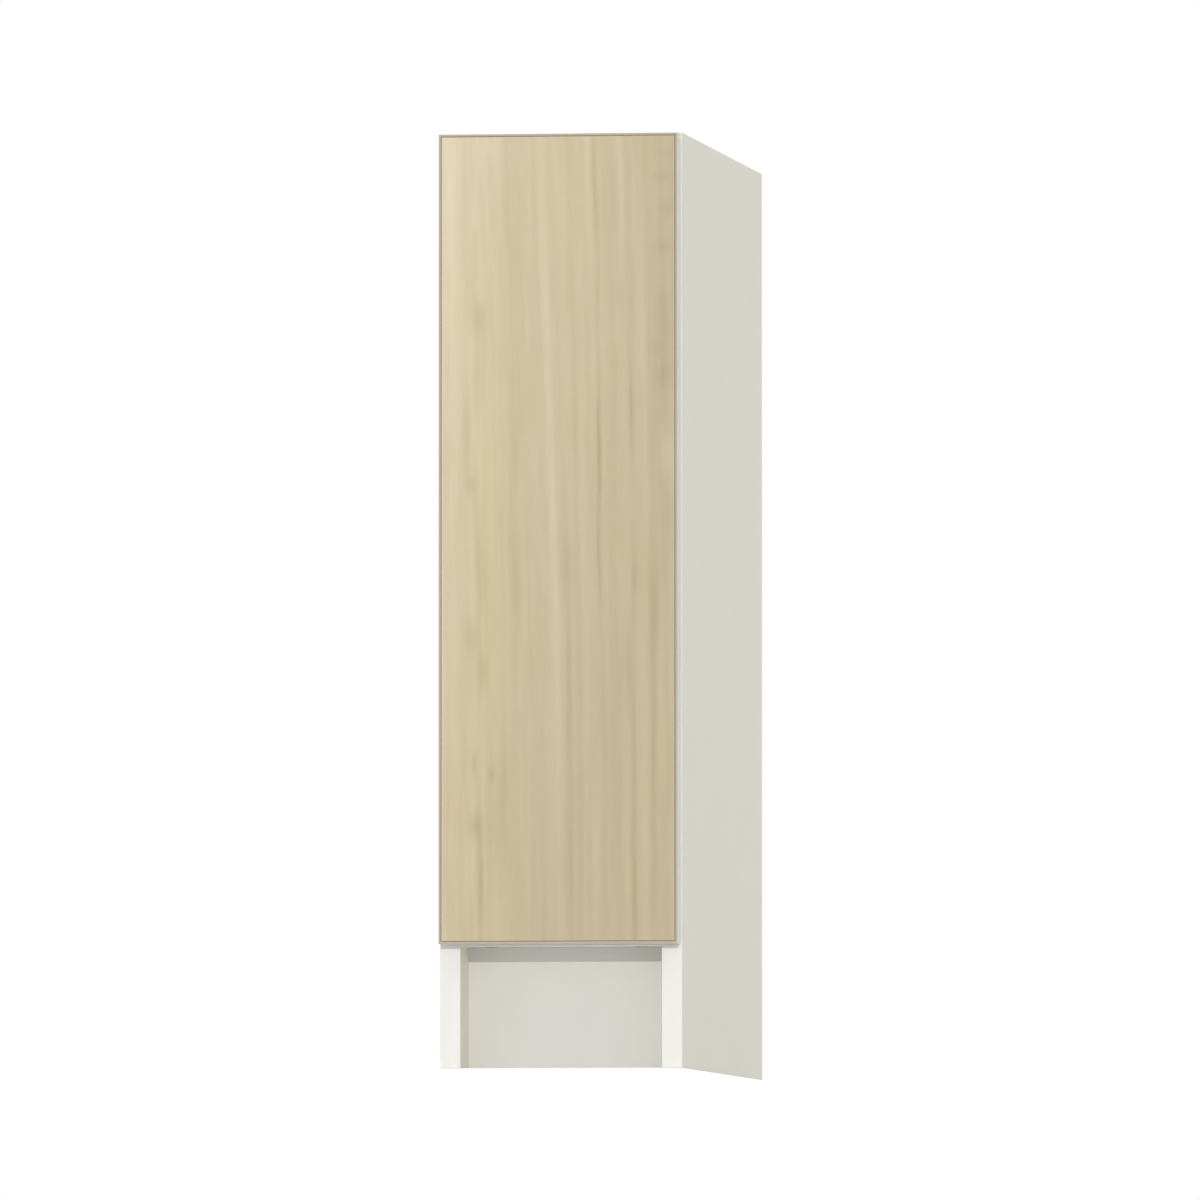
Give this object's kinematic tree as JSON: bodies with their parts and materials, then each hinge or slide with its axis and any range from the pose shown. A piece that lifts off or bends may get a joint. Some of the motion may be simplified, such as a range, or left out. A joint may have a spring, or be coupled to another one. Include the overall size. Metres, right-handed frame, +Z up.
{
  "type": "pull-out base cabinet",
  "caption": "Narrow handleless base cabinet with a wood-look slab front that pulls out a tiered shelf unit on ball-bearing slides, opened by pushing; white carcass with recessed toe kick.",
  "frame": {"origin": "on the floor, at the middle of the cabinet's width and depth", "axes": "+Z up, -Y out of the slab front, +X to the right for someone facing the front"},
  "size_m": [0.2286, 0.6096, 0.8763],
  "materials": {
    "front_laminate": "matte",
    "front_edge_band": "satin",
    "white_melamine": "satin",
    "white_edge_band": "satin",
    "pine_block": "matte",
    "beech_dowel": "matte",
    "birch_ply": "satin",
    "slide_steel": "satin",
    "ball_steel": "polished",
    "rail_chrome": "polished",
    "screw_steel": "satin",
    "cam_zinc": "matte",
    "adjuster_plastic": "matte",
    "latch_plastic": "matte",
    "latch_pad": "matte",
    "spring_steel": "satin"
  },
  "bodies": {
    "carcass": {"left_side_panel": "white_melamine", "right_side_panel": "white_melamine", "left_side_edge_band": "white_edge_band", "right_side_edge_band": "white_edge_band", "bottom_panel": "white_melamine", "bottom_edge_band": "white_edge_band", "front_top_rail": "white_melamine", "top_rail_edge_band": "white_edge_band", "rear_top_rail": "white_melamine", "back_panel": "white_melamine", "back_panel_screws": "screw_steel", "upper_hanging_rail": "white_melamine", "lower_hanging_rail": "white_melamine", "toe_kick": "white_melamine", "toe_kick_blocks": "pine_block", "cam_locks": "cam_zinc", "cam_bolts": "screw_steel", "wood_dowels": "beech_dowel", "left_slide_outer": "slide_steel", "right_slide_outer": "slide_steel", "slide_cabinet_screws": "screw_steel", "latch_housing": "latch_plastic", "latch_screws": "screw_steel", "latch_spring": "spring_steel"},
    "outer_ball_cages": {"left_outer_cage": "slide_steel", "left_outer_balls": "ball_steel", "right_outer_cage": "slide_steel", "right_outer_balls": "ball_steel"},
    "slide_middles": {"left_slide_middle": "slide_steel", "right_slide_middle": "slide_steel"},
    "inner_ball_cages": {"left_inner_cage": "slide_steel", "left_inner_balls": "ball_steel", "right_inner_cage": "slide_steel", "right_inner_balls": "ball_steel"},
    "pullout": {"front_panel": "front_laminate", "front_edge_band_left": "front_edge_band", "front_edge_band_right": "front_edge_band", "front_edge_band_top": "front_edge_band", "front_edge_band_bottom": "front_edge_band", "front_adjusters": "adjuster_plastic", "adjuster_screws": "screw_steel", "front_upright": "birch_ply", "rear_upright": "birch_ply", "left_tray_side": "birch_ply", "right_tray_side": "birch_ply", "tray_bottom": "birch_ply", "middle_shelf": "birch_ply", "upper_shelf": "birch_ply", "middle_shelf_rails": "rail_chrome", "upper_shelf_rails": "rail_chrome", "unit_screws": "screw_steel", "left_slide_inner": "slide_steel", "right_slide_inner": "slide_steel", "slide_tray_screws": "screw_steel"},
    "plunger": {"latch_plunger": "latch_plastic", "plunger_pad": "latch_pad"}
  },
  "joints": [
    {"name": "pullout_slide", "type": "slide", "parent": "carcass", "child": "pullout", "axis": [0, -1, 0], "range_m": [-0.002, 0.508]},
    {"name": "slide_middle_travel", "type": "slide", "parent": "carcass", "child": "slide_middles", "axis": [0, -1, 0], "range_m": [-0.001, 0.254]},
    {"name": "outer_cage_travel", "type": "slide", "parent": "carcass", "child": "outer_ball_cages", "axis": [0, -1, 0], "range_m": [-0.0005, 0.127]},
    {"name": "inner_cage_travel", "type": "slide", "parent": "slide_middles", "child": "inner_ball_cages", "axis": [0, -1, 0], "range_m": [-0.0005, 0.127]},
    {"name": "plunger_press", "type": "slide", "parent": "carcass", "child": "plunger", "axis": [0, 1, 0], "range_m": [0, 0.003], "stiffness_N_per_m": 800, "springref_m": -0.004, "deforming": ["latch_spring"]}
  ],
  "couplings": [
    {"joint": "slide_middle_travel", "follows": "pullout_slide", "ratio": 0.5},
    {"joint": "outer_cage_travel", "follows": "pullout_slide", "ratio": 0.25},
    {"joint": "inner_cage_travel", "follows": "pullout_slide", "ratio": 0.25}
  ]
}
